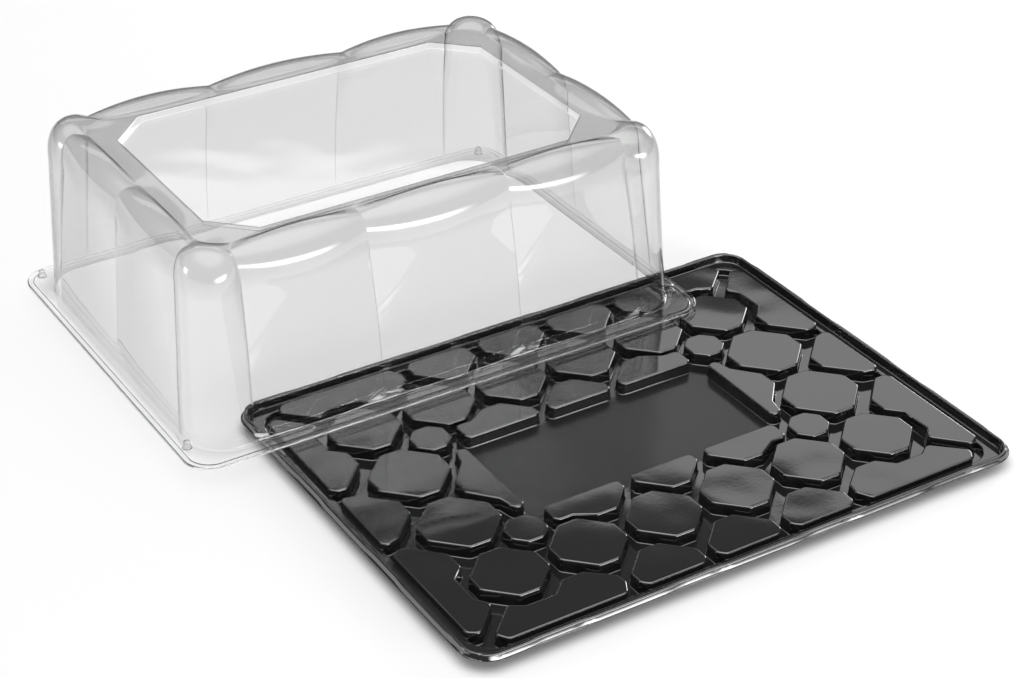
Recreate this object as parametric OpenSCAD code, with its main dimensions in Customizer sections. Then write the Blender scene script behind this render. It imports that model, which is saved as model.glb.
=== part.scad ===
// Humidity dome and tray: a black tray and a clear dome, each formed from one
// thin plastic sheet. Millimetres, +Z up, origin on the supporting surface under
// the middle of the tray. The dome is off the tray: it hangs level behind it, with
// its flange just above the tray's rim, and slides across until it is over the tray.

/* [Tray] */
// Outer length of the tray, along X
tray_len = 480; // [480:1:500]
// Outer width of the tray, along Y
tray_wid = 371; // [371:1:390]
// Corner radius of the tray's rim
tray_r = 22.5; // [15:0.5:30]
// Thickness of the tray's sheet
tray_t = 0.8; // [0.6:0.1:1.2]
// Height of the raised pads above the resting surface
pad_top = 11; // [10:0.5:14]
// Height of the channel floor between the pads and the rim
channel_z = 6; // [4:0.5:8]
// Height of the rim
rim_top = 13; // [12:0.5:16]
// Width of the rim bead
rim_w = 5; // [4:0.5:7]
// Drop of the outer skirt below the rim
skirt_h = 4; // [2:0.5:5]

/* [Pad pattern] */
// Distance between octagon columns
pitch_x = 65.8; // [65:0.1:67]
// Distance between octagon rows
pitch_y = 70; // [69:0.1:71]
// Width of a standard octagon
oct_w = 56; // [54:0.5:57]
// Straight side of a standard octagon
oct_flat = 16.5; // [14:0.5:20]
// Length of the pocket
pocket_len = 224.6; // [220:0.1:226]
// Width of the pocket
pocket_wid = 107.6; // [104:0.1:110]

/* [Dome] */
// Outer length of the dome's flange
flange_len = 465; // [460:0.5:466]
// Outer width of the dome's flange
flange_wid = 354; // [350:0.5:356]
// Corner radius of the flange
flange_r = 24; // [20:0.5:30]
// Thickness of the dome's sheet
dome_t = 0.7; // [0.5:0.1:1]
// Height of the lobes' ridge above the flange's underside
ridge_h = 158; // [150:1:165]
// Height of the flat crown around the top panel
crown_h = 153; // [145:1:160]
// Depth of the recessed top panel below the crown
panel_drop = 5; // [2:0.5:8]
// Height at which the walls start to round over
shoulder_h = 124; // [110:1:130]

/* [Resting place of the dome] */
// Offset of the dome's centre from the tray's centre, along X
rest_x = -72; // [-90:1:0]
// Offset of the dome's centre from the tray's centre, along Y
rest_y = 287.5; // [250:0.5:300]
// Height of the flange's underside above the pads
rest_gap = 3.6; // [3:0.1:6]

/* [Hidden] */

// ---------- shared 2D helpers ----------

function half_turn(p) = [for (q = p) -q];
function flip_x(p) = [for (i = [len(p) - 1:-1:0]) [-p[i].x, p[i].y]];
function flip_y(p) = [for (i = [len(p) - 1:-1:0]) [p[i].x, -p[i].y]];
function four_ways(p) = [p, flip_x(p), half_turn(p), flip_y(p)];

// Outline moved inwards by d along every edge of a counter-clockwise polygon
function edge_dir(p, i) = let (v = p[(i + 1) % len(p)] - p[i % len(p)]) v / norm(v);
function inset(p, d) = [
    for (i = [0:len(p) - 1])
        let (a = edge_dir(p, i + len(p) - 1), b = edge_dir(p, i),
             na = [-a.y, a.x], nb = [-b.y, b.x],
             k = d / (1 + na * nb))
            p[i] + k * (na + nb)
];

module rounded_plate(length, width, radius, z0, z1) {
    x = length / 2 - radius;
    y = width / 2 - radius;
    translate([0, 0, z0]) {
        translate([-x, -width / 2, 0]) cube([2 * x, width, z1 - z0]);
        translate([-length / 2, -y, 0]) cube([length, 2 * y, z1 - z0]);
        for (sx = [-1, 1], sy = [-1, 1])
            translate([sx * x, sy * y, 0]) cylinder(h = z1 - z0, r = radius, $fn = 48);
    }
}

// ---------- tray ----------

moat_w = 0.03 * tray_len;
field_len = tray_len - 2 * moat_w;
field_wid = tray_wid - 2 * moat_w;
field_r = 19;
fx = field_len / 2;
fy = field_wid / 2;
row_y = 106.5;
low_row_y = row_y - pitch_y;
col_x = [0.5, 1.5, 2.5] * pitch_x;
large_oct = [61, 62, 18];
small_oct = [30, 30, 13];
small_oct_at = [128, 69];

function octagon(cx, cy, w, h, flat) = [
    [cx + w / 2, cy - flat / 2], [cx + w / 2, cy + flat / 2],
    [cx + flat / 2, cy + h / 2], [cx - flat / 2, cy + h / 2],
    [cx - w / 2, cy + flat / 2], [cx - w / 2, cy - flat / 2],
    [cx - flat / 2, cy - h / 2], [cx + flat / 2, cy - h / 2]
];

// Five-sided pad on the long border, its point towards the tray's middle
function border_pad(cx) = let (h = oct_w / 2, f = oct_flat / 2, y = row_y + oct_w / 2) [
    [cx + f, y], [cx + h, y + h - f], [cx + h, fy - 5], [cx + h - 5, fy],
    [cx - h + 5, fy], [cx - h, fy - 5], [cx - h, y + h - f], [cx - f, y]
];

// Corner pads: one runs along the long border and one along the short border,
// on either side of a diagonal groove (drawn for the +X +Y corner)
corner_long = [
    [102, 160], [103, 150.5], [121.5, 134.5], [139, 134.5], [151.5, 146.5],
    [175, 146.5], [186, 139], [210, 162], [204, fy], [108, fy]
];
corner_short = [
    [fx - 4, 44], [fx, 48], [fx, 150], [217.5, 155.5], [194.5, 131], [202, 121],
    [202, 94.5], [191, 83.5], [191, 67], [213, 44]
];

// Half pad in the middle of the short border (drawn for +X)
short_middle = [
    [fx, -31], [fx, 31], [fx - 4, 33.5], [212, 31], [189, 8], [189, -8],
    [212, -31], [fx - 4, -33.5]
];

// Pads that wall the pocket: along its long side and along its short side
px = pocket_len / 2;
py = pocket_wid / 2;
tip_y = row_y - oct_w / 2 + 4;
pocket_middle = [
    [-27.5, py], [27.5, py], [27.5, py + 9], [oct_flat / 2, tip_y],
    [-oct_flat / 2, tip_y], [-27.5, py + 9]
];
pocket_outer = [
    [38.5, py], [104, py], [104, py + 19], [90, py + 19], [pitch_x + oct_flat / 2, tip_y],
    [pitch_x - oct_flat / 2, tip_y], [38.5, py + 9]
];
pocket_end = [
    [px, -43], [px + 9, -43], [px + 12, -28], [141.5, -8], [141.5, 8],
    [px + 12, 28], [px + 9, 43], [px, 43]
];

PADS = concat(
    [for (x = col_x, sx = [-1, 1], sy = [-1, 1])
        octagon(sx * x, sy * row_y, oct_w, oct_w, oct_flat)],
    [for (sx = [-1, 1], sy = [-1, 1])
        octagon(sx * col_x[2], sy * low_row_y, large_oct[0], large_oct[1], large_oct[2])],
    [for (sx = [-1, 1], sy = [-1, 1])
        octagon(sx * small_oct_at.x, sy * small_oct_at.y,
                small_oct[0], small_oct[1], small_oct[2])],
    [for (i = [-1:1]) border_pad(i * pitch_x)],
    [for (i = [-1:1]) flip_y(border_pad(i * pitch_x))],
    four_ways(corner_long),
    four_ways(corner_short),
    [short_middle, flip_x(short_middle)],
    [pocket_middle, flip_y(pocket_middle)],
    four_ways(pocket_outer),
    [pocket_end, flip_x(pocket_end)]
);

module pad(outline) linear_extrude(pad_top) polygon(outline);

module pad_hollow(outline)
    translate([0, 0, -1]) linear_extrude(pad_top - tray_t + 1) polygon(inset(outline, tray_t));

// Channel round the pads with the rim's wall, bead and turned-down skirt
module channel_and_rim() {
    wall_len = tray_len - 2 * rim_w;
    wall_wid = tray_wid - 2 * rim_w;
    wall_r = tray_r - rim_w;
    difference() {
        union() {
            rounded_plate(field_len + 2 * tray_t, field_wid + 2 * tray_t, field_r, 0, channel_z);
            rounded_plate(wall_len + 2 * tray_t, wall_wid + 2 * tray_t, wall_r + tray_t,
                          channel_z - tray_t, rim_top);
            rounded_plate(tray_len, tray_wid, tray_r, rim_top - tray_t, rim_top);
            difference() {
                rounded_plate(tray_len, tray_wid, tray_r, rim_top - skirt_h, rim_top);
                rounded_plate(tray_len - 2 * tray_t, tray_wid - 2 * tray_t, tray_r - tray_t,
                              rim_top - skirt_h - 1, rim_top - tray_t);
            }
        }
        rounded_plate(field_len, field_wid, field_r - tray_t, tray_t, rim_top + 1);
        rounded_plate(wall_len, wall_wid, wall_r, channel_z, rim_top + 1);
    }
}

module tray() {
    color([0.03, 0.03, 0.032])
        difference() {
            union() {
                channel_and_rim();
                for (p = PADS) pad(p);
            }
            for (p = PADS) pad_hollow(p);
        }
}

// ---------- dome ----------

// Every level of the dome's shell is one ring of points. A ring is drawn for the
// +X +Y quarter, from the middle of the long side to the crease in the middle of
// the short side, and mirrored. The long sides have three lobes and the short
// sides have two, with a round pillar at each corner and a crease between them.
crease_u = 62.8;
seg = 6;
half_seg = seg / 2;
quarter_n = half_seg + 3 * seg;

function mix(a, b, t) = a + (b - a) * t;
function bow(t) = 4 * t * (1 - t);

// A level is [long wall, long crease, short wall, short crease, pillar crease u,
// pillar crease v, pillar swell, lobe height, long crease height, short crease height]
wall_foot = [162, 160, 219, 217.5, 176, 117, 4, 2, 10, 22];
wall_top = [154, 144, 213, 208, 170, 108, 4, shoulder_h, shoulder_h, shoulder_h];
ridge_level = [128, 131, 191.5, 194.5, 172, 109, 8, ridge_h, crown_h, crown_h];
crown_level = [120, 120, 185, 185, 164, 101, 0, crown_h, crown_h, crown_h];

// Level at angle a of the rounded shoulder, from the wall's top to the ridge
shoulder_power = 0.83;
function shoulder_level(a) =
    let (out = pow(cos(a), shoulder_power), up = pow(sin(a), shoulder_power))
    [for (j = [0:9]) j < 7 ? mix(ridge_level[j], wall_top[j], out)
                   : mix(wall_top[j], ridge_level[j], up)];

LEVELS = concat(
    [for (t = [0:0.25:1]) mix(wall_foot, wall_top, t)],
    [for (a = [22.5:22.5:90]) shoulder_level(a)],
    [crown_level]
);

// Point at share t of the pillar: a cubic curve round the corner, pulled towards
// two handles that stand out past the walls
pillar_reach = 0.55;
function handle(wall, crease, swell) = wall + (wall - crease) * 0.9 + swell;
function pillar(l, t) = let (
    a = [l[4], l[1]], d = [l[3], l[5]],
    b = [mix(l[4], l[2], pillar_reach), handle(l[0], l[1], l[6])],
    c = [handle(l[2], l[3], l[6]), mix(l[5], l[0], pillar_reach)])
    pow(1 - t, 3) * a + 3 * t * pow(1 - t, 2) * b + 3 * t * t * (1 - t) * c + pow(t, 3) * d;

// Quarter point i of a level
function lobe_point(l, i) =
    i < half_seg ? long_point(l, -crease_u, crease_u, 0.5 + i / seg)
    : i < half_seg + seg ? long_point(l, crease_u, l[4], (i - half_seg) / seg)
    : i < half_seg + 2 * seg ? pillar_point(l, (i - half_seg - seg) / seg)
    : short_point(l, (i - half_seg - 2 * seg) / seg);
function long_point(l, a, b, t) =
    [mix(a, b, t), mix(l[1], l[0], bow(t)), mix(l[8], l[7], bow(t))];
function short_point(l, t) =
    [mix(l[3], l[2], bow(t)), mix(l[5], 0, t), mix(l[9], l[7], bow(t))];
function pillar_point(l, t) = let (p = pillar(l, t))
    [p.x, p.y, mix(mix(l[8], l[9], t), l[7], bow(t))];

// A quarter ring mirrored into a whole one
function mirrored(q) = concat(
    [for (i = [0:quarter_n]) [q[i].x, -q[i].y, q[i].z]],
    [for (i = [quarter_n - 1:-1:0]) q[i]],
    [for (i = [1:quarter_n]) [-q[i].x, q[i].y, q[i].z]],
    [for (i = [quarter_n - 1:-1:1]) [-q[i].x, -q[i].y, q[i].z]]
);
function level_ring(l) = mirrored([for (i = [0:quarter_n]) lobe_point(l, i)]);

// Quarter of a rectangle with rounded or cut corners, on the same point numbers
function plain_quarter(u, v, r, cut, z) = [
    for (i = [0:quarter_n])
        let (a = half_seg + seg, t = (i - a) / seg,
             corner = cut ? [u - r * (1 - t), v - r * t]
                          : [u - r + r * sin(90 * t), v - r + r * cos(90 * t)])
            i < a ? [(u - r) * i / a, v, z]
            : i <= a + seg ? [corner.x, corner.y, z]
            : [u, (v - r) * (1 - (i - a - seg) / seg), z]
];

foot_r = 34;
panel_u = 168.5;
panel_v = 111;
panel_cut = 32;
panel_draft = 1.5;
function plain_ring(u, v, r, cut, z) = mirrored(plain_quarter(u, v, r, cut, z));

// Rings of the sheet's flat parts; k is 0 outside and the thickness inside
function flange_rings(k) = [
    plain_ring(flange_len / 2, flange_wid / 2, flange_r, false, dome_t - k),
    plain_ring(wall_foot[2] - k, wall_foot[0] - k, foot_r, false, dome_t - k)
];
function panel_rings(k) = [
    plain_ring(panel_u + k, panel_v + k, panel_cut, true, crown_h - k),
    plain_ring(panel_u - panel_draft + k, panel_v - panel_draft + k, panel_cut, true,
               crown_h - panel_drop - k)
];

// Ring r moved inwards, square to the surface, by the sheet's thickness
function thinned(rings, r) = let (n = len(rings[r])) [
    for (i = [0:n - 1])
        let (up = rings[r + 1][i] - rings[r - 1][i],
             along = rings[r][(i + 1) % n] - rings[r][(i + n - 1) % n],
             inward = cross(up, along))
            rings[r][i] + dome_t * inward / norm(inward)
];
function lowered(ring) = [for (p = ring) p - [0, 0, dome_t]];

module dome_shell() {
    outer = concat(flange_rings(0), [for (l = LEVELS) level_ring(l)], panel_rings(0));
    crown = len(outer) - 3;
    inner = concat(flange_rings(dome_t), [for (r = [2:crown - 2]) thinned(outer, r)],
                   [lowered(outer[crown - 1]), lowered(outer[crown])], panel_rings(dome_t));
    rings = len(outer);
    n = len(outer[0]);
    centre_z = crown_h - panel_drop;
    points = concat(
        [for (r = outer) each r], [for (r = inner) each r],
        [[0, 0, centre_z], [0, 0, centre_z - dome_t]]
    );
    top = 2 * rings * n;
    far = rings * n;
    faces = concat(
        [for (r = [0:rings - 2], i = [0:n - 1]) let (j = (i + 1) % n)
            each [[r * n + i, (r + 1) * n + i, (r + 1) * n + j],
                  [r * n + i, (r + 1) * n + j, r * n + j]]],
        [for (r = [0:rings - 2], i = [0:n - 1]) let (j = (i + 1) % n)
            each [[far + r * n + i, far + (r + 1) * n + j, far + (r + 1) * n + i],
                  [far + r * n + i, far + r * n + j, far + (r + 1) * n + j]]],
        [for (i = [0:n - 1]) let (j = (i + 1) % n, e = (rings - 1) * n)
            each [[e + i, top, e + j], [far + e + i, far + e + j, top + 1]]],
        [for (i = [0:n - 1]) let (j = (i + 1) % n)
            each [[i, j, far + j], [i, far + j, far + i]]]
    );
    polyhedron(points, faces, convexity = 6);
}

module dome() {
    color([0.85, 0.88, 0.9, 0.35])
        translate([rest_x, rest_y, pad_top + rest_gap]) dome_shell();
}

tray();
dome();
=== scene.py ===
"""Humidity dome and tray: looks, stage and camera.

The tray and the dome are each one thin formed sheet. Their outlines are in
millimetres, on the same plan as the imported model, and their places come from it.
"""

import math

import bpy
import numpy as np
from mathutils import Matrix, Vector
from mathutils.geometry import delaunay_2d_cdt


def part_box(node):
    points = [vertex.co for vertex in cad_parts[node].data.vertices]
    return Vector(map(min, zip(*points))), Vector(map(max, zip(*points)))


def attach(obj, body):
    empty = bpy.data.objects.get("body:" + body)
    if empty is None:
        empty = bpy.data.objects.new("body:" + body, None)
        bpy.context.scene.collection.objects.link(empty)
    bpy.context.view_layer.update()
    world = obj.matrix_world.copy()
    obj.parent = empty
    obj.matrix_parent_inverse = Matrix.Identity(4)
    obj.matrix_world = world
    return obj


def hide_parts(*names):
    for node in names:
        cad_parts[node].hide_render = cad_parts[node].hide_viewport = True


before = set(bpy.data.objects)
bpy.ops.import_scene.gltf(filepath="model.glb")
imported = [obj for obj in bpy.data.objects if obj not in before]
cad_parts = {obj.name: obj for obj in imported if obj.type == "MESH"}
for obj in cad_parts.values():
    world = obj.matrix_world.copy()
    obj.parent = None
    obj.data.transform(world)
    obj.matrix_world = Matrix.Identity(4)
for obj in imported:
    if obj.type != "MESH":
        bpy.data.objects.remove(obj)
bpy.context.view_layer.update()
MM = 0.001

# ---------- shared helpers ----------


def mix(a, b, t):
    return a + (b - a) * t


def bow(t):
    return 4 * t * (1 - t)


def fillet(centre, radius, start, end, steps):
    """Points of an arc in a profile; angles in degrees from +offset towards +z."""
    angles = [math.radians(mix(start, end, i / steps)) for i in range(steps + 1)]
    return [(centre[0] + radius * math.cos(a), centre[1] + radius * math.sin(a)) for a in angles]


def profile_normals(profile):
    """Unit normals of a profile's points, to the left of its direction of travel."""
    p = np.array(profile)
    d = np.diff(p, axis=0)
    d /= np.linalg.norm(d, axis=1)[:, None]
    d = np.vstack([d[:1], d[:-1] + d[1:], d[-1:]])
    d /= np.linalg.norm(d, axis=1)[:, None]
    return np.column_stack([-d[:, 1], d[:, 0]])


def mesh_object(name, points, faces):
    """A smooth-shaded object whose flat faces keep their own normals."""
    mesh = bpy.data.meshes.new(name)
    mesh.from_pydata([tuple(p) for p in points], [], faces)
    mesh.validate()
    mesh.shade_smooth()
    obj = bpy.data.objects.new(name, mesh)
    bpy.context.scene.collection.objects.link(obj)
    weighted = obj.modifiers.new("flat_faces", "WEIGHTED_NORMAL")
    weighted.mode = "FACE_AREA"
    weighted.weight = 60
    return obj


def point_values(obj, name, values):
    """Store a number at each of a mesh's points, for its material to read."""
    attribute = obj.data.attributes.new(name, "FLOAT", "POINT")
    attribute.data.foreach_set("value", np.asarray(values, np.float32))


# ---------- tray: plan ----------

tray_lo, tray_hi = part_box("tray")
tray_half = np.array([tray_hi.x - tray_lo.x, tray_hi.y - tray_lo.y]) / 2 / MM
RIM_TOP = tray_hi.z / MM
TRAY_R = 22.5
TRAY_T = 0.8
PAD_TOP = 11
CHANNEL_Z = 6
SKIRT_Z = RIM_TOP - 4
MOAT_W = 14.4
FIELD_R = 19
FX, FY = tray_half - MOAT_W

PITCH_X, PITCH_Y = 65.8, 70
ROW_Y = 106.5
COL_X = [0.5 * PITCH_X, 1.5 * PITCH_X, 2.5 * PITCH_X]
OCT_W, OCT_FLAT = 56, 16.5
PX, PY = 112.3, 53.8
TIP_Y = ROW_Y - OCT_W / 2 + 4


def octagon(cx, cy, w, h, flat):
    a, b, f = w / 2, h / 2, flat / 2
    corners = [(a, -f), (a, f), (f, b), (-f, b), (-a, f), (-a, -f), (-f, -b), (f, -b)]
    return [(cx + x, cy + y) for x, y in corners]


def border_pad(cx):
    """Five-sided pad on the long border, its point towards the tray's middle."""
    h, f, y = OCT_W / 2, OCT_FLAT / 2, ROW_Y + OCT_W / 2
    return [
        (cx + f, y), (cx + h, y + h - f), (cx + h, FY - 5), (cx + h - 5, FY),
        (cx - h + 5, FY), (cx - h, FY - 5), (cx - h, y + h - f), (cx - f, y),
    ]


CORNER_LONG = [
    (102, 160), (103, 150.5), (121.5, 134.5), (139, 134.5), (151.5, 146.5),
    (175, 146.5), (186, 139), (210, 162), (204, FY), (108, FY),
]
CORNER_SHORT = [
    (FX - 4, 44), (FX, 48), (FX, 150), (217.5, 155.5), (194.5, 131), (202, 121),
    (202, 94.5), (191, 83.5), (191, 67), (213, 44),
]
SHORT_MIDDLE = [
    (FX, -31), (FX, 31), (FX - 4, 33.5), (212, 31), (189, 8), (189, -8),
    (212, -31), (FX - 4, -33.5),
]
POCKET_MIDDLE = [
    (-27.5, PY), (27.5, PY), (27.5, PY + 9), (OCT_FLAT / 2, TIP_Y),
    (-OCT_FLAT / 2, TIP_Y), (-27.5, PY + 9),
]
POCKET_OUTER = [
    (38.5, PY), (104, PY), (104, PY + 19), (90, PY + 19), (PITCH_X + OCT_FLAT / 2, TIP_Y),
    (PITCH_X - OCT_FLAT / 2, TIP_Y), (38.5, PY + 9),
]
POCKET_END = [
    (PX, -43), (PX + 9, -43), (PX + 12, -28), (141.5, -8), (141.5, 8),
    (PX + 12, 28), (PX + 9, 43), (PX, 43),
]


def flip_x(p):
    return [(-x, y) for x, y in reversed(p)]


def flip_y(p):
    return [(x, -y) for x, y in reversed(p)]


def four_ways(p):
    return [p, flip_x(p), flip_y(p), flip_x(flip_y(p))]


def pad_outlines():
    pads = []
    for x in COL_X:
        pads += four_ways(octagon(x, ROW_Y, OCT_W, OCT_W, OCT_FLAT))
    pads += four_ways(octagon(COL_X[2], ROW_Y - PITCH_Y, 61, 62, 18))
    pads += four_ways(octagon(128, 69, 30, 30, 13))
    for i in (-1, 0, 1):
        pads += [border_pad(i * PITCH_X), flip_y(border_pad(i * PITCH_X))]
    pads += four_ways(CORNER_LONG) + four_ways(CORNER_SHORT) + four_ways(POCKET_OUTER)
    pads += [SHORT_MIDDLE, flip_x(SHORT_MIDDLE)]
    pads += [POCKET_MIDDLE, flip_y(POCKET_MIDDLE)]
    pads += [POCKET_END, flip_x(POCKET_END)]
    return pads


# ---------- tray: heights ----------
# Each height is a profile: (offset, z) points, run inwards to outwards. A pad's
# offset is measured outwards from its outline, the field's from the field's edge
# and the rim's from the tray's outer edge.

CORE = 4.2  # how far a pad's core lies inside its outline, which rounds its corners
PAD_EDGE_R, FIELD_EDGE_R, RIM_R = 1.4, 1, 1.2
COVE_R = 0.9  # where the grooves' floor meets the pads and the field's wall
PAD_PROFILE = (
    fillet((-0.85, PAD_TOP - PAD_EDGE_R), PAD_EDGE_R, 90, 0, 6)
    + [(0.55 + 0.4 * (PAD_TOP - 1.3 - CHANNEL_Z) / 8, CHANNEL_Z)]
    + fillet((1.85, TRAY_T + COVE_R), COVE_R, 180, 270, 4)
)
FIELD_PROFILE = (
    fillet((-1.6, TRAY_T + COVE_R), COVE_R, 270, 360, 4)
    + fillet((0.6, CHANNEL_Z - FIELD_EDGE_R), FIELD_EDGE_R, 180, 90, 4)
)
RIM_PROFILE = (
    fillet((-6.9, CHANNEL_Z + RIM_R), RIM_R, 270, 360, 4)
    + fillet((-4.0, RIM_TOP - RIM_R), RIM_R, 180, 90, 5)
    + fillet((-2.6, RIM_TOP - RIM_R), RIM_R, 90, 22, 5)
    + [(-0.5, SKIRT_Z + 0.6), (0, SKIRT_Z)]
)
# Round the rim's outside, long lugs take turns with lengths set back a little
LUG_PITCH, LUG_LENGTH, LUG_STEP, LUG_RAMP = 114, 66, 0.9, 5
LUG_FROM = -3.2  # the part of the rim's profile outside this offset is set back


def set_back(q):
    """How far the rim's outside is set back at plan points."""
    along = np.where(
        np.abs(q[:, 0]) - tray_half[0] > np.abs(q[:, 1]) - tray_half[1], q[:, 1], q[:, 0]
    )
    from_lug = np.abs((along + LUG_PITCH / 2) % LUG_PITCH - LUG_PITCH / 2) - LUG_LENGTH / 2
    return LUG_STEP * np.clip(from_lug / LUG_RAMP, 0.06, 1)


def edge_normals(p):
    """Outward unit normals of the edges of a counter-clockwise polygon."""
    d = np.roll(p, -1, axis=0) - p
    d = d / np.linalg.norm(d, axis=1)[:, None]
    return np.column_stack([d[:, 1], -d[:, 0]])


def inset(p, distance):
    p = np.array(p, float)
    n = edge_normals(p)
    before = np.roll(n, 1, axis=0)
    return p - (n + before) * (distance / (1 + (n * before).sum(1)))[:, None]


def grown(core, distance):
    """The line at a distance outside a polygon, with round outer corners."""
    n = edge_normals(core)
    out = []
    for i, b in enumerate(core):
        n0, n1 = n[i - 1], n[i]
        turn = math.atan2(n0[0] * n1[1] - n0[1] * n1[0], n0 @ n1)
        if turn <= 0:
            out.append(b + (n0 + n1) * distance / (1 + n0 @ n1))
            continue
        start, steps = math.atan2(n0[1], n0[0]), max(2, math.ceil(math.degrees(turn) / 15))
        for k in range(steps + 1):
            a = start + turn * k / steps
            out.append(b + distance * np.array([math.cos(a), math.sin(a)]))
    return out


def rounded_rectangle(half, radius, step=6):
    """Counter-clockwise points, close together along the sides too."""
    out = []
    for k, (sx, sy) in enumerate([(1, 1), (-1, 1), (-1, -1), (1, -1)]):
        cx, cy = sx * (half[0] - radius), sy * (half[1] - radius)
        for i in range(13):
            a = math.radians(90 * k + 90 * i / 12)
            out.append((cx + radius * math.cos(a), cy + radius * math.sin(a)))
    filled = []
    for a, b in zip(out, out[1:] + out[:1]):
        n = max(1, round(math.dist(a, b) / step))
        filled += [(mix(a[0], b[0], i / n), mix(a[1], b[1], i / n)) for i in range(n)]
    return filled


def distance_to(core, q):
    """Distance of points from a polygon, 0 inside, and the way away from it."""
    best = np.full(len(q), np.inf)
    away = np.zeros((len(q), 2))
    inside = np.zeros(len(q), bool)
    for a, b in zip(core, np.roll(core, -1, axis=0)):
        d = b - a
        t = np.clip(((q - a) @ d) / (d @ d), 0, 1)
        gap = q - (a + t[:, None] * d)
        length = np.linalg.norm(gap, axis=1)
        near = length < best
        best[near], away[near] = length[near], gap[near]
        crosses = (a[1] > q[:, 1]) != (b[1] > q[:, 1])
        with np.errstate(divide="ignore", invalid="ignore"):
            at = a[0] + (q[:, 1] - a[1]) * d[0] / d[1]
        inside ^= crosses & (q[:, 0] < at)
    away /= np.maximum(best, 1e-9)[:, None]
    best[inside] = 0
    return best, away


def distance_to_rectangle(half, radius, q):
    """Signed distance of points from a rounded rectangle, and the way away from it."""
    inner = half - radius
    gap = np.abs(q) - inner
    outer = np.maximum(gap, 0)
    length = np.linalg.norm(outer, axis=1)
    signed = length + np.minimum(gap.max(1), 0) - radius
    side = np.zeros_like(q)
    side[np.arange(len(q)), gap.argmax(1)] = 1
    away = np.where(length[:, None] > 1e-9, outer / np.maximum(length, 1e-9)[:, None], side)
    return signed, away * np.sign(q)


def raise_sheet(q, cores):
    """Height of the sheet's top at plan points, and its upward unit normal there."""
    z = np.full(len(q), -1.0)
    normal = np.zeros((len(q), 3))

    def add(profile, offset, away, within=None):
        p, n = np.array(profile), profile_normals(profile)
        height = np.interp(offset, p[:, 0], p[:, 1], left=within)
        higher = height > z
        z[higher] = height[higher]
        across = np.interp(offset, p[:, 0], n[:, 0])
        up = np.interp(offset, p[:, 0], n[:, 1])
        full = np.column_stack([away * across[:, None], up])
        full /= np.linalg.norm(full, axis=1)[:, None]
        normal[higher] = full[higher]

    add(FIELD_PROFILE, *distance_to_rectangle(np.array([FX, FY]), FIELD_R, q))
    offset, away = distance_to_rectangle(tray_half, TRAY_R, q)
    offset = np.where(offset > LUG_FROM, offset + set_back(q), offset)
    add(RIM_PROFILE, offset, away, within=0)
    for core in cores:
        offset, away = distance_to(core, q)
        add(PAD_PROFILE, offset - CORE, away)
    return z, normal


def make_tray():
    """The tray's sheet: contour lines joined into one surface, then given thickness."""
    cores = [inset(p, CORE) for p in pad_outlines()]
    loops = [rounded_rectangle((FX + o, FY + o), FIELD_R + o) for o, _ in FIELD_PROFILE]
    for o, _ in RIM_PROFILE:
        loop = np.array(rounded_rectangle(tray_half + o, TRAY_R + o))
        if o > LUG_FROM:
            _, away = distance_to_rectangle(tray_half, TRAY_R, loop)
            loop -= away * set_back(loop)[:, None]
        loops.append(loop)
    loops.append(rounded_rectangle(tray_half, TRAY_R))
    loops += [grown(core, CORE + o) for core in cores for o, _ in PAD_PROFILE]
    points, edges = [], []
    for loop in loops:
        first, n = len(points), len(loop)
        points += [Vector(p) for p in loop]
        edges += [(first + i, first + (i + 1) % n) for i in range(n)]
    verts, _, faces, _, _, _ = delaunay_2d_cdt(points, edges, [], 0, 1e-4, False)
    q = np.array([(v.x, v.y) for v in verts])
    z, normal = raise_sheet(q, cores)
    top = np.column_stack([q, z])
    under = top - TRAY_T * normal
    n = len(top)
    faces = [tuple(f) for f in faces]
    directed = dict.fromkeys((a, b) for f in faces for a, b in zip(f, f[1:] + f[:1]))
    border = [(a, b) for a, b in directed if (b, a) not in directed]
    all_faces = faces + [tuple(n + i for i in reversed(f)) for f in faces]
    all_faces += [(b, a, n + a, n + b) for a, b in border]
    tray_sheet = mesh_object("tray_sheet", np.vstack([top, under]) * MM, all_faces)
    inside = (np.abs(q[:, 0]) < PX) & (np.abs(q[:, 1]) < PY) & (z < TRAY_T + 0.1)
    point_values(tray_sheet, "satin", np.concatenate([inside, inside]))
    return tray_sheet


# ---------- dome ----------

dome_lo, dome_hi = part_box("dome")
flange_half = np.array([dome_hi.x - dome_lo.x, dome_hi.y - dome_lo.y]) / 2 / MM
dome_at = np.array([(dome_lo.x + dome_hi.x) / 2, (dome_lo.y + dome_hi.y) / 2, dome_lo.z]) / MM
RIDGE_H = (dome_hi.z - dome_lo.z) / MM
CROWN_H = RIDGE_H - 5
PANEL_DROP = 5
SHOULDER_H = 124
DOME_T = 0.7
FLANGE_R = 24
CREASE_U = 62.8
PANEL_U, PANEL_V, PANEL_CUT = 168.5, 111, 32
LONG_APEX, SHORT_APEX = 10.5, 27
PANEL_RINGS = 9  # rings inside the outermost ring of the panel's edge
CROWN_SHADE = 0.5  # how much of the creases' painted shade the crown has

# Two small beads round the flange: distance in from its edge, and height
BEAD = [
    (0, 0), (0.2, 0.65), (0.5, 0.85), (0.9, 0.85), (1.3, 0.5), (1.7, 0.1), (2.3, 0), (4.7, 0),
    (4.9, 0.05), (5.1, 0.28), (5.4, 0.36), (5.8, 0.28), (6.3, 0.05), (6.8, 0),
]
NUBS_AT = [(221.8, -138.7), (-221.8, -138.7), (216, 165), (-216, 165)]
NUB_OUTSIDE = [(4.0, 0), (3.3, 0.4), (3.0, 1.2), (2.8, 4.8), (2.5, 5.6), (1.8, 6.1), (0.9, 6.3)]
NUB_INSIDE = [(3.4, 0), (2.7, 0.6), (2.4, 1.4), (2.2, 4.6), (1.9, 5.1), (1.4, 5.5), (0.7, 5.7)]

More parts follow.
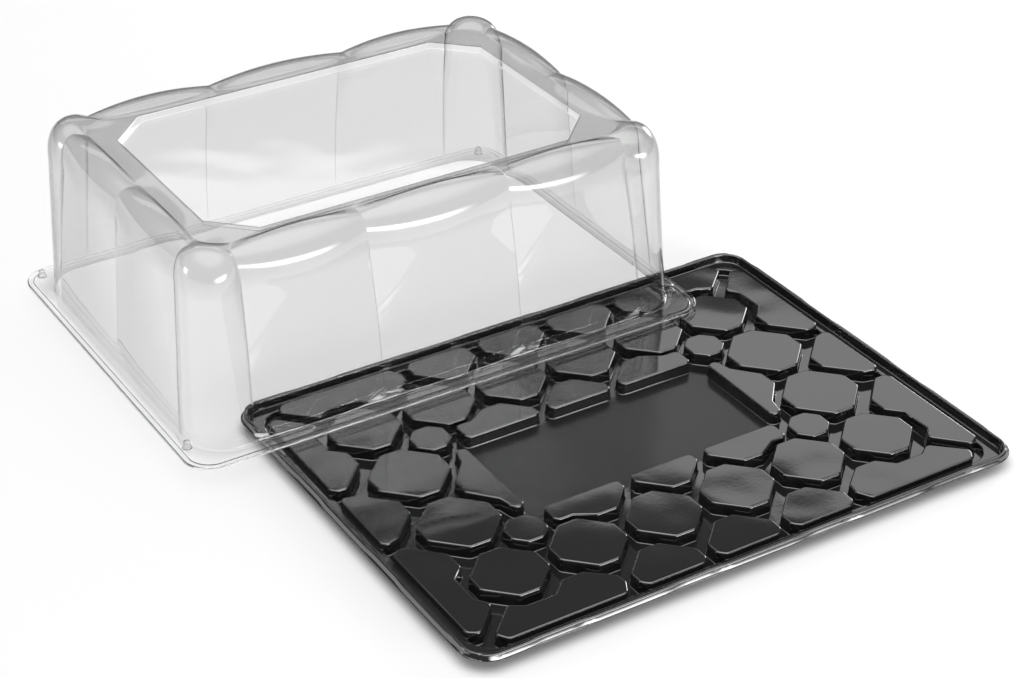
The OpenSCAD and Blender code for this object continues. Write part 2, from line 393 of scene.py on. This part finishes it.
# The curve at the walls' foot: distance out from the wall, and height
FOOT_COVE = [(3.2, DOME_T), (1.3, 0.75), (0.45, 1.25), (0.1, 2.1)]
# Heights of the wall's rings: close together where the facets are, then evenly spaced
FACET_RINGS = [3, 4, 5, 6, 7, 8, 9, 10, 10.5, 11, 12, 14, 16, 18, 20, 22, 24, 26, 27, 28, 30]
WALL_RINGS = range(36, SHOULDER_H + 1, 8)
SHOULDER_CURVE = 0.83  # 1 is a quarter circle, and less is fuller

# Shares along each stretch of a quarter ring, closer together at the creases
HALF_LOBE = [0.5 + 0.5 * math.sin(math.pi / 2 * i / 12) for i in range(12)]
LOBE = [(1 - math.cos(math.pi * i / 22)) / 2 for i in range(22)]
PILLAR = [0.5 * i / 20 + 0.25 * (1 - math.cos(math.pi * i / 20)) for i in range(20)]
SHORT_LOBE = [(1 - math.cos(math.pi * i / 22)) / 2 for i in range(23)]


class Level:
    """Plan of one ring: where the walls, creases and pillar are, and how high."""

    def __init__(self, long, short, pillar, lobe_z, long_z, short_z, swell=4):
        self.swell = swell
        self.long_wall, self.long_crease = long
        self.short_wall, self.short_crease = short
        self.pillar_u, self.pillar_v = pillar
        self.lobe_z, self.long_z, self.short_z = lobe_z, long_z, short_z

    def towards(self, other, out, up):
        """A level between this one and another, by a share in plan and in height."""
        made = Level((0, 0), (0, 0), (0, 0), 0, 0, 0)
        for key, value in vars(self).items():
            share = up if key.endswith("_z") else out
            setattr(made, key, mix(value, getattr(other, key), share))
        return made


def wall_level(z):
    s = z / SHOULDER_H
    return Level(
        (162 - 8 * s, 160 - 5 * s - 11 * s * s), (219 - 6 * s, 218.5 - 10.5 * s),
        (176 - 6 * s, 117 - 9 * s), z, z, z,
    )


RIDGE = Level((128, 131), (191.5, 194.5), (172, 109), RIDGE_H, CROWN_H, CROWN_H, swell=8)
CROWN = Level((120, 120), (185, 185), (164, 101), CROWN_H, CROWN_H, CROWN_H, swell=0)
FOOT = wall_level(0)


PILLAR_PULL = 0.9  # of the wall's depth in front of its crease
PILLAR_BEND = 0.55  # of the way to the wall, where the curve's handles lie


def handle(wall, crease, swell):
    """Where a pillar's curve is pulled to, past the wall."""
    return wall + (wall - crease) * PILLAR_PULL + swell


def quarter(level, facets=False):
    """Quarter ring as rows of u, v, z, outward u, outward v."""
    c = level
    rows = []
    stretches = [(-CREASE_U, CREASE_U, HALF_LOBE), (CREASE_U, c.pillar_u, LOBE)]
    for a, b, shares in stretches:
        for t in shares:
            v = mix(c.long_crease, c.long_wall, bow(t))
            rows.append([mix(a, b, t), v, mix(c.long_z, c.lobe_z, bow(t)), 0, 1])
    p0 = np.array([c.pillar_u, c.long_crease])
    pulled_u = handle(c.short_wall, c.short_crease, c.swell)
    pulled_v = handle(c.long_wall, c.long_crease, c.swell)
    p1 = np.array([mix(c.pillar_u, c.short_wall, PILLAR_BEND), pulled_v])
    p2 = np.array([pulled_u, mix(c.pillar_v, c.long_wall, PILLAR_BEND)])
    p3 = np.array([c.short_crease, c.pillar_v])
    for t in PILLAR:
        s = 1 - t
        p = s**3 * p0 + 3 * t * s * s * p1 + 3 * t * t * s * p2 + t**3 * p3
        z = mix(mix(c.long_z, c.short_z, t), c.lobe_z, bow(t))
        a = math.radians(90 * t)
        rows.append([p[0], p[1], z, math.sin(a), math.cos(a)])
    for t in SHORT_LOBE:
        u = mix(c.short_crease, c.short_wall, bow(t))
        rows.append([u, mix(c.pillar_v, 0, t), mix(c.short_z, c.lobe_z, bow(t)), 1, 0])
    rows = np.array(rows)
    if facets:
        fill_creases(rows, level)
    return rows


def fill_creases(rows, level):
    """Flat facets that close the creases at their foot."""
    z = level.lobe_z
    n_long, n_pillar = len(HALF_LOBE) + len(LOBE), len(PILLAR)
    apex = wall_level(LONG_APEX)
    v = FOOT.long_wall - z / LONG_APEX * (FOOT.long_wall - apex.long_crease)
    rows[: n_long + 1, 1] = np.maximum(rows[: n_long + 1, 1], v)
    apex = wall_level(SHORT_APEX)
    u = FOOT.short_wall - z / SHORT_APEX * (FOOT.short_wall - apex.short_crease)
    short = slice(n_long + n_pillar, None)
    middle = rows[short, 1] < 0.75 * level.pillar_v  # leaves the crease beside the pillar
    rows[short, 0] = np.where(middle, np.maximum(rows[short, 0], u), rows[short, 0])


def whole_ring(rows):
    """A quarter ring mirrored into a whole one, going round clockwise."""
    q = np.array(rows)[:, :3]
    return np.vstack([
        q * (1, -1, 1), q[-2::-1], q[1:] * (-1, 1, 1), q[-2:0:-1] * (-1, -1, 1),
    ])


def spread(level, u_end, v_end, corner, z):
    """Plain ring with a given corner, its points spread as on the level's ring."""
    rows = quarter(level)
    n_long, n_pillar = len(HALF_LOBE) + len(LOBE), len(PILLAR)
    out = []
    for i, row in enumerate(rows):
        if i < n_long:
            u = row[0] * (u_end - corner(0)[0]) / level.pillar_u
            out.append((u, v_end, z))
        elif i < n_long + n_pillar:
            du, dv = corner(PILLAR[i - n_long])
            out.append((u_end - du, v_end - dv, z))
        else:
            v = row[1] * (v_end - corner(1)[1]) / level.pillar_v
            out.append((u_end, v, z))
    return out


def round_corner(radius):
    def at(t):
        a = math.radians(90 * t)
        return radius * (1 - math.sin(a)), radius * (1 - math.cos(a))
    return at


def cut_corner(cut):
    def at(t):
        return cut * (1 - t), cut * t
    return at


def panel_ring(inwards, z):
    cut = PANEL_CUT - inwards * (2 - math.sqrt(2))
    return spread(CROWN, PANEL_U - inwards, PANEL_V - inwards, cut_corner(cut), z)


def dome_rings():
    """Rings of the dome's outer surface, from the flange's edge to the top panel."""
    rings = [
        spread(FOOT, *(flange_half - o), round_corner(FLANGE_R - o), DOME_T + up)
        for o, up in BEAD
    ]
    for out, z in FOOT_COVE:
        foot = quarter(wall_level(z), facets=True)
        foot[:, 0] += foot[:, 3] * out
        foot[:, 1] += foot[:, 4] * out
        foot[:, 2] = z
        rings.append(foot)
    rings += [quarter(wall_level(z), facets=True) for z in FACET_RINGS]
    rings += [quarter(wall_level(z)) for z in WALL_RINGS]
    top = wall_level(SHOULDER_H)
    for a in range(6, 91, 6):
        out, up = (math.sin(math.radians(b)) ** SHOULDER_CURVE for b in (90 - a, a))
        rings.append(quarter(RIDGE.towards(top, out, 1 - up)))
    for i in range(1, 7):
        s = i / 6
        rings.append(quarter(RIDGE.towards(CROWN, s, s * s)))
    edge = fillet((-1.0, CROWN_H - 1.0), 1.0, 90, 0, 4)
    foot = fillet((2.2, CROWN_H - PANEL_DROP + 1.0), 1.0, 180, 270, 4)
    rings += [panel_ring(inwards, z) for inwards, z in edge + foot]
    return [whole_ring(r) for r in rings]


def grid_normals(rings):
    """Outward unit normals of a stack of closed rings."""
    g = np.array(rings)
    around = np.roll(g, -1, axis=1) - np.roll(g, 1, axis=1)
    up = np.gradient(g, axis=0)
    n = np.cross(around, up)
    n /= np.maximum(np.linalg.norm(n, axis=2), 1e-12)[:, :, None]
    return n


def crease_mask():
    """1 at a ring's crease points and 0 elsewhere."""
    n_long, n_pillar, n_short = len(HALF_LOBE) + len(LOBE), len(PILLAR), len(SHORT_LOBE)
    m = np.zeros(n_long + n_pillar + n_short)
    m[[len(HALF_LOBE), n_long, n_long + n_pillar, -1]] = 1
    return np.concatenate([m, m[-2::-1], m[1:], m[-2:0:-1]])


def make_dome():
    rings = np.array(dome_rings())
    normals = grid_normals(rings)
    count, n = rings.shape[:2]
    normals[0] = normals[-1] = (0, 0, 1)
    inner = rings - DOME_T * normals
    points = np.vstack([rings.reshape(-1, 3), inner.reshape(-1, 3)]) + dome_at
    faces = []
    far = count * n
    for r in range(count - 1):
        for i in range(n):
            j = (i + 1) % n
            a, b, c, d = r * n + i, r * n + j, (r + 1) * n + j, (r + 1) * n + i
            faces.append((a, b, c, d))
            faces.append((far + d, far + c, far + b, far + a))
    last = (count - 1) * n
    faces.append(tuple(last + i for i in range(n)))
    faces.append(tuple(far + last + i for i in reversed(range(n))))
    faces += [((i + 1) % n, i, far + i, far + (i + 1) % n) for i in range(n)]
    dome_sheet = mesh_object("dome_sheet", points * MM, faces)
    # Painted shade: the tint is darkened in the creases and on the crown. Painted light: the
    # tint is left out on the flat parts, the flange and the top panel, which makes them lighter.
    z = rings[:, 0, 2]
    creases = np.interp(z, [8, 24, SHOULDER_H, SHOULDER_H + 20], [0, 1, 1, 0])
    crown = np.interp(z, [SHOULDER_H, SHOULDER_H + 18], [0, CROWN_SHADE])
    crown[-PANEL_RINGS:] = 0
    shade = np.maximum(np.outer(creases, crease_mask()), crown[:, None]).ravel()
    point_values(dome_sheet, "shade", np.tile(shade, 2))
    # Painted light: the flange and the top panel are marked to be left untinted, which makes
    # them lighter
    flat = np.zeros(count)
    flat[:len(BEAD)] = flat[-PANEL_RINGS:] = 1
    point_values(dome_sheet, "flat_part", np.tile(np.repeat(flat, n), 2))
    return dome_sheet


def make_nubs():
    """Four small hollow stacking nubs at the flange's corners."""
    sides = 24
    profile = NUB_OUTSIDE + NUB_INSIDE[::-1]
    last = len(NUB_OUTSIDE) - 1
    points, faces = [], []
    for u, v in NUBS_AT:
        first = len(points)
        for r, z in profile:
            for i in range(sides):
                a = 2 * math.pi * i / sides
                around = (r * math.cos(a), r * math.sin(a), DOME_T + 0.02 + z)
                points.append(np.array([u, v, 0]) + around)
        for k in range(len(profile)):
            if k == last:  # the outside's top is closed by the flat face below
                continue
            low, high = first + k * sides, first + (k + 1) % len(profile) * sides
            for i in range(sides):
                j = (i + 1) % sides
                faces.append((low + i, low + j, high + j, high + i))
        top = first + last * sides
        faces.append(tuple(top + i for i in range(sides)))
        faces.append(tuple(top + sides + i for i in reversed(range(sides))))
    return mesh_object("dome_nubs", (np.array(points) + dome_at) * MM, faces)


# ---------- materials ----------


def new_material(name):
    mat = bpy.data.materials.new(name)
    mat.use_nodes = True
    tree = mat.node_tree
    return mat, tree, tree.nodes["Principled BSDF"]


def point_value_node(tree, name):
    node = tree.nodes.new("ShaderNodeAttribute")
    node.attribute_name = name
    return node.outputs["Fac"]


def mix_towards(tree, factor, colour, grey, blend="MIX"):
    """A colour mixed with a grey, by a factor read from the mesh."""
    node = tree.nodes.new("ShaderNodeMix")
    node.data_type = "RGBA"
    node.blend_type = blend
    node.inputs["B"].default_value = (grey, grey, grey, 1)
    tree.links.new(factor, node.inputs["Factor"])
    tree.links.new(colour, node.inputs["A"])
    return node.outputs["Result"]


def bump(tree, target, layers):
    """Chained bumps from noise: (scale per metre, depth in metres, detail) each."""
    place = tree.nodes.new("ShaderNodeTexCoord")
    previous = None
    for scale, depth, detail in layers:
        noise = tree.nodes.new("ShaderNodeTexNoise")
        noise.inputs["Scale"].default_value = scale
        noise.inputs["Detail"].default_value = detail
        tree.links.new(place.outputs["Object"], noise.inputs["Vector"])
        node = tree.nodes.new("ShaderNodeBump")
        node.inputs["Strength"].default_value = 1
        node.inputs["Distance"].default_value = depth
        tree.links.new(noise.outputs["Fac"], node.inputs["Height"])
        if previous is not None:
            tree.links.new(previous.outputs["Normal"], node.inputs["Normal"])
        previous = node
    tree.links.new(previous.outputs["Normal"], target.inputs["Normal"])


def black_plastic():
    mat, tree, bsdf = new_material("tray_black")
    bsdf.inputs["Base Color"].default_value = (0.012, 0.012, 0.0125, 1)
    satin = point_value_node(tree, "satin")
    for name, shiny, dull in (("Roughness", 0.07, 0.24), ("IOR", 2.2, 1.75)):
        value = tree.nodes.new("ShaderNodeMapRange")
        value.inputs["To Min"].default_value = shiny
        value.inputs["To Max"].default_value = dull
        tree.links.new(satin, value.inputs["Value"])
        tree.links.new(value.outputs["Result"], bsdf.inputs[name])
    bump(tree, bsdf, [(14, 0.001, 1), (300, 0.00001, 3)])
    return mat


# The clear sheet's tint, from facing the viewer (0) to edge-on (1)
TINT = [(0.1, 0.86), (0.34, 0.86), (0.42, 0.76), (0.57, 0.76), (0.7, 0.48), (1, 0.3)]
PAINTED_SHADE_GREY = 0.66  # painted shade, what the tint is multiplied by in the creases


def clear_plastic():
    mat, tree, bsdf = new_material("dome_clear")
    facing = tree.nodes.new("ShaderNodeLayerWeight")
    facing.inputs["Blend"].default_value = 0.5
    tint = tree.nodes.new("ShaderNodeValToRGB")
    stops = tint.color_ramp.elements
    for _ in range(len(TINT) - len(stops)):
        stops.new(0.5)
    for stop, (at, grey) in zip(stops, TINT):
        stop.position, stop.color = at, (grey, grey, grey, 1)
    tree.links.new(facing.outputs["Facing"], tint.inputs["Fac"])
    shade, flat_part = point_value_node(tree, "shade"), point_value_node(tree, "flat_part")
    # Painted shade: the tint is darkened in the creases and on the crown
    darker = mix_towards(tree, shade, tint.outputs["Color"], PAINTED_SHADE_GREY, "MULTIPLY")
    # Painted light: the flat flange and top panel are left untinted, lighter than the rest of
    # the sheet
    colour = mix_towards(tree, flat_part, darker, 1)
    tree.links.new(colour, bsdf.inputs["Base Color"])
    bsdf.inputs["Roughness"].default_value = 0.02
    bsdf.inputs["IOR"].default_value = 1.45
    bsdf.inputs["Transmission Weight"].default_value = 1
    bump(tree, bsdf, [(12, 0.0003, 1)])
    clear = tree.nodes.new("ShaderNodeBsdfTransparent")
    clear.inputs["Color"].default_value = (0.96, 0.96, 0.96, 1)
    path = tree.nodes.new("ShaderNodeLightPath")
    unseen = tree.nodes.new("ShaderNodeMath")
    unseen.operation = "MAXIMUM"
    tree.links.new(path.outputs["Is Shadow Ray"], unseen.inputs[0])
    tree.links.new(path.outputs["Is Diffuse Ray"], unseen.inputs[1])
    both = tree.nodes.new("ShaderNodeMixShader")
    tree.links.new(unseen.outputs["Value"], both.inputs["Fac"])
    tree.links.new(bsdf.outputs["BSDF"], both.inputs[1])
    tree.links.new(clear.outputs["BSDF"], both.inputs[2])
    tree.links.new(both.outputs["Shader"], tree.nodes["Material Output"].inputs["Surface"])
    return mat


# ---------- stage ----------


MIDDLE = Vector((0, 0.15, 0))  # what the lights face
FLOOR = 8  # half the floor's width
FLOOR_GAP = 0.0005  # the floor lies this far under the tray, so that they don't share a plane


def make_floor():
    mesh = bpy.data.meshes.new("floor")
    corners = [(-FLOOR, -FLOOR, 0), (FLOOR, -FLOOR, 0), (FLOOR, FLOOR, 0), (-FLOOR, FLOOR, 0)]
    mesh.from_pydata(corners, [], [(0, 1, 2, 3)])
    floor = bpy.data.objects.new("floor", mesh)
    bpy.context.scene.collection.objects.link(floor)
    mat, _, bsdf = new_material("floor")
    bsdf.inputs["Base Color"].default_value = (0.93, 0.93, 0.93, 1)
    bsdf.inputs["Roughness"].default_value = 0.9
    bsdf.inputs["Specular IOR Level"].default_value = 0
    mesh.materials.append(mat)
    floor.location.z = -FLOOR_GAP


def soften(data, soft):
    """Fade a light towards its edges, over a share of its width and of its height."""
    data.use_nodes = True
    tree = data.node_tree
    place = tree.nodes.new("ShaderNodeNewGeometry")
    split = tree.nodes.new("ShaderNodeSeparateXYZ")
    tree.links.new(place.outputs["Parametric"], split.inputs["Vector"])
    both = tree.nodes.new("ShaderNodeMath")
    both.operation = "MULTIPLY"
    for i, share in enumerate(soft):
        offset = tree.nodes.new("ShaderNodeMath")
        offset.operation = "SUBTRACT"
        offset.inputs[1].default_value = 0.5
        tree.links.new(split.outputs[i], offset.inputs[0])
        size = tree.nodes.new("ShaderNodeMath")
        size.operation = "ABSOLUTE"
        tree.links.new(offset.outputs["Value"], size.inputs[0])
        fade = tree.nodes.new("ShaderNodeMapRange")
        fade.interpolation_type = "SMOOTHSTEP"
        fade.inputs["From Min"].default_value = 0.5 - share
        fade.inputs["From Max"].default_value = 0.5
        fade.inputs["To Min"].default_value = 1
        fade.inputs["To Max"].default_value = 0
        tree.links.new(size.outputs["Value"], fade.inputs["Value"])
        tree.links.new(fade.outputs["Result"], both.inputs[i])
    tree.links.new(both.outputs["Value"], tree.nodes["Emission"].inputs["Strength"])


def softbox(name, azimuth, low, high, distance, width, radiance, soft):
    """An upright flat light facing the object, azimuth in degrees from +Y towards +X."""
    data = bpy.data.lights.new(name, "AREA")
    data.shape = "RECTANGLE"
    data.size, data.size_y = width, high - low
    data.energy = radiance * math.pi * data.size * data.size_y
    soften(data, soft)
    lamp = bpy.data.objects.new(name, data)
    bpy.context.scene.collection.objects.link(lamp)
    away = Vector((math.sin(math.radians(azimuth)), math.cos(math.radians(azimuth)), 0))
    lamp.location = MIDDLE + away * distance + Vector((0, 0, (low + high) / 2))
    lamp.rotation_euler = (-away).to_track_quat("-Z", "Y").to_euler()
    lamp.visible_camera = False


def make_sky(low, high, horizon, zenith):
    """Soft light from above, brightening between two heights (sines of elevation).

    Seen directly it is white, so that the floor has no dark edge.
    """
    world = bpy.data.worlds.new("studio")
    world.use_nodes = True
    tree = world.node_tree
    place = tree.nodes.new("ShaderNodeTexCoord")
    split = tree.nodes.new("ShaderNodeSeparateXYZ")
    tree.links.new(place.outputs["Generated"], split.inputs["Vector"])
    rise = tree.nodes.new("ShaderNodeMapRange")
    rise.interpolation_type = "SMOOTHSTEP"
    rise.inputs["From Min"].default_value = low
    rise.inputs["From Max"].default_value = high
    rise.inputs["To Min"].default_value = horizon
    rise.inputs["To Max"].default_value = zenith
    tree.links.new(split.outputs["Z"], rise.inputs["Value"])
    path = tree.nodes.new("ShaderNodeLightPath")
    brightest = tree.nodes.new("ShaderNodeMath")
    brightest.operation = "MAXIMUM"
    tree.links.new(rise.outputs["Result"], brightest.inputs[0])
    tree.links.new(path.outputs["Is Camera Ray"], brightest.inputs[1])
    tree.links.new(brightest.outputs["Value"], tree.nodes["Background"].inputs["Strength"])
    tree.nodes["Background"].inputs["Color"].default_value = (1, 1, 1, 1)
    bpy.context.scene.world = world


def make_lights():
    softbox(
        "backdrop", azimuth=32, low=1.38, high=1.9,
        distance=2.45, width=4.4, radiance=0.9, soft=(0.03, 0.08),
    )
    softbox(
        "right_strip", azimuth=66, low=0.1, high=1.2,
        distance=2.2, width=1.2, radiance=10, soft=(0.4, 0.4),
    )
    softbox(
        "front_strip", azimuth=172, low=0, high=1.0,
        distance=3.0, width=4.2, radiance=18, soft=(0.4, 0.5),
    )
    softbox(
        "left_lamp", azimuth=-68, low=0, high=0.7,
        distance=2.2, width=0.8, radiance=12, soft=(0.5, 0.5),
    )
    make_sky(low=0.63, high=0.95, horizon=0.1, zenith=2.2)


def make_camera():
    data = bpy.data.cameras.new("camera")
    camera = bpy.data.objects.new("camera", data)
    bpy.context.scene.collection.objects.link(camera)
    data.lens = 83.09
    data.sensor_width = 36
    place, target = Vector((-0.8549, -1.2459, 1.0131)), Vector((0.0002, 0.1587, 0.0110))
    look = (target - place).to_track_quat("-Z", "Y").to_matrix()
    roll = Matrix.Rotation(math.radians(-0.384), 3, "Z")
    camera.matrix_world = Matrix.Translation(place) @ (look @ roll).to_4x4()
    data.clip_start, data.clip_end = 0.05, 60
    bpy.context.scene.camera = camera


make_camera()
make_floor()
make_lights()

tray = make_tray()
tray.data.materials.append(black_plastic())
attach(tray, "tray")
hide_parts("tray")

dome = make_dome()
clear = clear_plastic()
dome.data.materials.append(clear)
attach(dome, "dome")
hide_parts("dome")

nubs = make_nubs()
nubs.data.materials.append(clear)
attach(nubs, "dome")

bpy.context.scene.view_settings.view_transform = "Standard"
